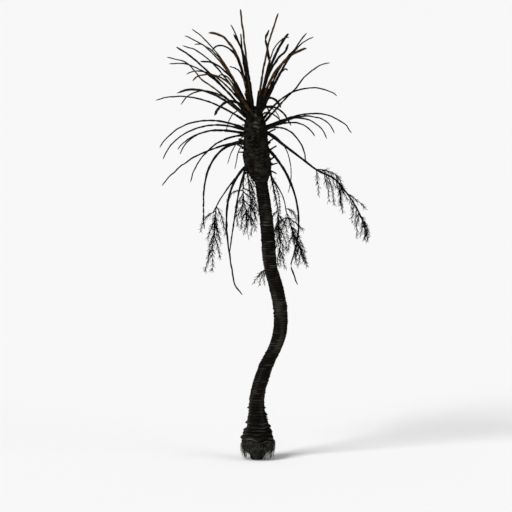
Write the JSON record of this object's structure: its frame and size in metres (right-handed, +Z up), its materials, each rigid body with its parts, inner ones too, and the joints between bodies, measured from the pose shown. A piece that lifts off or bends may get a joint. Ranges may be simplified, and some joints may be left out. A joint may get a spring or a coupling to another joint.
{
  "type": "dead palm tree",
  "caption": "Tall dead palm: a slender ringed trunk that bows out and back, a swelling of old leaf bases, bare arching frond ribs and hanging fruit stalks.",
  "frame": {"origin": "middle of the flat cut under the trunk, at ground level", "axes": "+Z up the trunk, +X to the side the far fruit stalk reaches, -Y towards the front"},
  "size_m": [4.223, 3.0949, 9.0663],
  "materials": {
    "bark": "rough ringed bark",
    "leaf_base": "rough fibrous",
    "rib": "dry, matte",
    "stalk": "dry, matte",
    "strings": "dry, fibrous",
    "rootlets": "dry, fibrous"
  },
  "bodies": {
    "root": {"trunk": "bark", "leaf_bases": "leaf_base", "root_skirt": "rootlets", "spear_left_tall": "rib", "spear_right_tall": "rib", "spear_front": "rib", "spear_left_curled": "rib", "spear_back": "rib", "left_high_1": "rib", "left_high_2": "rib", "left_high_3": "rib", "left_high_4": "rib", "left_high_5": "rib", "left_high_6": "rib", "left_high_7": "rib", "left_mid_1": "rib", "left_mid_2": "rib", "left_mid_3": "rib", "left_mid_4": "rib", "left_mid_5": "rib", "left_low_1_inner": "rib", "left_low_1_outer": "rib", "left_low_2": "rib", "left_low_3": "rib", "left_low_4": "rib", "left_low_5": "rib", "left_low_6": "rib", "left_low_7": "rib", "left_hanging": "rib", "back_low_1": "rib", "back_low_2": "rib", "right_high_1": "rib", "right_high_2": "rib", "right_high_3": "rib", "right_high_4": "rib", "right_high_5": "rib", "right_high_6": "rib", "right_mid_1": "rib", "right_mid_2": "rib", "right_mid_3": "rib", "right_low_1_inner": "rib", "right_low_1_outer": "rib", "right_low_2": "rib", "right_low_3": "rib", "right_low_4": "rib", "right_low_5": "rib", "right_hanging": "rib", "left_stalk": "stalk", "right_stalk": "stalk", "far_right_stalk": "stalk", "left_inner_stalk": "stalk", "trunk_left_stalk": "stalk", "trunk_right_stalk": "stalk", "left_tassel": "strings", "right_tassel": "strings", "far_right_tassel_1": "strings", "far_right_tassel_2": "strings", "trunk_left_tassel": "strings", "trunk_right_tassel": "strings", "trunk_tuft": "strings"}
  },
  "joints": []
}
